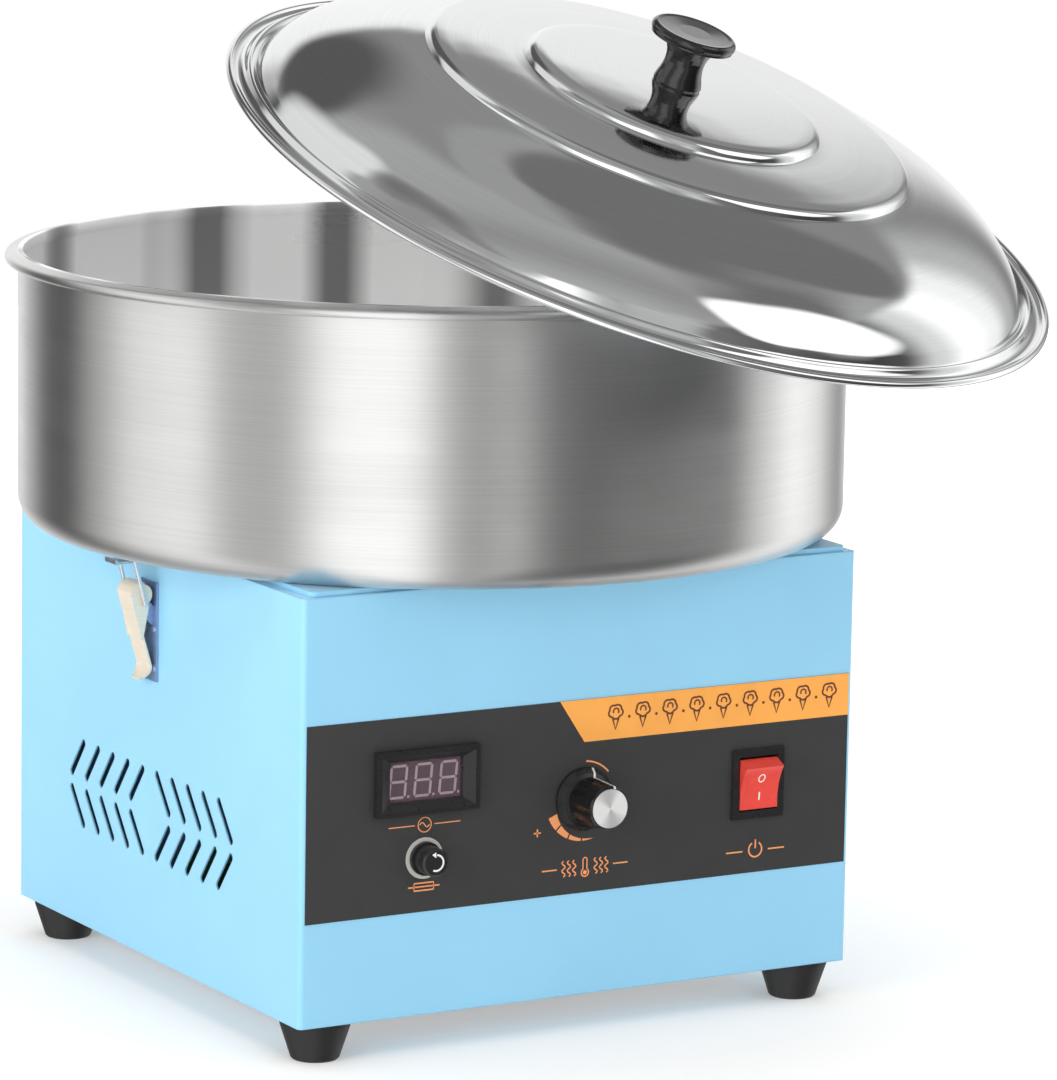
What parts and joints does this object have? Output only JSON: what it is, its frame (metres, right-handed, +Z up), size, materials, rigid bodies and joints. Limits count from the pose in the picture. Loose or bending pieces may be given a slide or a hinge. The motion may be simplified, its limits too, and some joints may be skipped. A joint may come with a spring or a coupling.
{
  "type": "cotton candy machine",
  "caption": "Countertop cotton candy machine: a blue casing with dial, rocker switch, meter and latches, a steel bowl, a heated spinner head and a lift-off lid.",
  "frame": {"origin": "on the counter, midway between the four feet and under the spinner's axis", "axes": "+Z up, -Y out of the front panel, +X to the machine's right as seen from the front"},
  "size_m": [0.542, 0.6825, 0.6084],
  "materials": {
    "casing_paint": "light blue powder coat, satin",
    "deck_paint": "light blue powder coat, satin",
    "plated_steel": "zinc plated, dull",
    "foot_rubber": "matt black rubber",
    "decal_film": "printed film, satin charcoal",
    "strip_film": "printed film, satin orange",
    "black_plastic": "moulded black plastic, satin",
    "meter_glass": "tinted clear window",
    "display_grey": "unlit digit segments",
    "ring_plastic": "pale washer",
    "fuse_glass": "clear glass tube",
    "knob_black": "moulded phenolic, satin",
    "spun_aluminium": "spun concentric finish",
    "shaft_steel": "turned",
    "phenolic_brown": "phenolic resin",
    "rocker_red": "translucent red, glossy",
    "terminal_brass": "stamped tabs",
    "bowl_steel": "stainless, fine horizontal brushing",
    "lid_steel": "stainless, mirror polished",
    "latch_steel": "bright nickel plate",
    "head_aluminium": "cast and turned",
    "heater_wire": "oxidised resistance wire",
    "ceramic": "unglazed ceramic",
    "band_steel": "perforated stainless band",
    "slip_insulation": "moulded phenolic",
    "slip_brass": "turned",
    "motor_iron": "grey enamel over cast iron",
    "stator_core": "varnished laminations",
    "bush_rubber": "moulded rubber",
    "carbon": "pressed carbon",
    "board_green": "solder-masked board",
    "lid_knob_black": "phenolic, glossy"
  },
  "bodies": {
    "machine": {"casing_shell": "casing_paint", "top_deck": "deck_paint", "base_plate": "plated_steel", "base_screws": "plated_steel", "feet": "foot_rubber", "foot_screws": "plated_steel", "foot_nuts": "plated_steel", "control_decal": "decal_film", "accent_strip": "strip_film", "voltmeter_bezel": "black_plastic", "voltmeter_window": "meter_glass", "voltmeter_display": "display_grey", "voltmeter_case": "black_plastic", "fuse_holder": "black_plastic", "fuse_ring": "ring_plastic", "fuse_nut": "black_plastic", "dimmer_body": "phenolic_brown", "dimmer_nut": "plated_steel", "switch_housing": "black_plastic", "switch_terminals": "terminal_brass", "bowl": "bowl_steel", "bowl_collar": "bowl_steel", "bowl_catches": "latch_steel", "latch_left_base": "latch_steel", "latch_right_base": "latch_steel", "latch_pins": "latch_steel", "motor_housing": "motor_iron", "motor_stator": "stator_core", "motor_bearings": "shaft_steel", "motor_bracket": "plated_steel", "motor_screws": "plated_steel", "motor_bushes": "bush_rubber", "motor_standoffs": "plated_steel", "brush_holder": "slip_insulation", "brushes": "carbon", "control_board": "board_green", "cord_gland": "black_plastic"},
    "spinner": {"head_pan": "head_aluminium", "head_heater": "heater_wire", "head_insulators": "ceramic", "head_band": "band_steel", "head_cap": "head_aluminium", "head_screws": "plated_steel", "spindle": "shaft_steel", "slip_ring_sleeve": "slip_insulation", "slip_rings": "slip_brass", "rotor": "stator_core"},
    "temperature_dial": {"temperature_knob": "knob_black", "knob_insert": "spun_aluminium", "dimmer_shaft": "shaft_steel"},
    "power_rocker": {"switch_rocker": "rocker_red"},
    "fuse_carrier": {"fuse_cap": "black_plastic", "fuse_link": "fuse_glass"},
    "left_lever": {"latch_left_lever": "latch_steel"},
    "left_bail": {"latch_left_bail": "latch_steel"},
    "right_lever": {"latch_right_lever": "latch_steel"},
    "right_bail": {"latch_right_bail": "latch_steel"},
    "lid": {"lid_shell": "lid_steel", "lid_knob": "lid_knob_black", "lid_screw": "plated_steel"}
  },
  "joints": [
    {"name": "spinner_turn", "type": "hinge", "parent": "machine", "child": "spinner", "pos_m": [0, 0, 0.2], "axis": [0, 0, 1], "continuous": true},
    {"name": "temperature_turn", "type": "hinge", "parent": "machine", "child": "temperature_dial", "pos_m": [0, -0.188, 0.143], "axis": [0, 1, 0], "range_deg": [-11, 232]},
    {"name": "power_rock", "type": "hinge", "parent": "machine", "child": "power_rocker", "pos_m": [0.121, -0.186, 0.141], "axis": [-1, 0, 0], "range_deg": [0, 28]},
    {"name": "fuse_twist", "type": "hinge", "parent": "machine", "child": "fuse_carrier", "pos_m": [-0.107, -0.188, 0.118], "axis": [0, -1, 0], "range_deg": [0, 90]},
    {"name": "left_lever_swing", "type": "hinge", "parent": "machine", "child": "left_lever", "pos_m": [-0.198, 0.006, 0.249], "axis": [0, 1, 0], "range_deg": [0, 100]},
    {"name": "left_bail_swing", "type": "hinge", "parent": "left_lever", "child": "left_bail", "pos_m": [-0.197, 0.006, 0.243], "axis": [0, 1, 0], "range_deg": [-90, 0]},
    {"name": "right_lever_swing", "type": "hinge", "parent": "machine", "child": "right_lever", "pos_m": [0.198, 0.006, 0.249], "axis": [0, -1, 0], "range_deg": [0, 100]},
    {"name": "right_bail_swing", "type": "hinge", "parent": "right_lever", "child": "right_bail", "pos_m": [0.197, 0.006, 0.243], "axis": [0, -1, 0], "range_deg": [-90, 0]},
    {"name": "lid_lower", "type": "hinge", "parent": "machine", "child": "lid", "pos_m": [0.11, -0.216, 0.01], "axis": [0.8387, 0.2888, 0.4617], "range_deg": [-24, 0]}
  ],
  "couplings": [
    {"joint": "left_bail_swing", "follows": "left_lever_swing", "ratio": -0.9},
    {"joint": "right_bail_swing", "follows": "right_lever_swing", "ratio": -0.9}
  ]
}
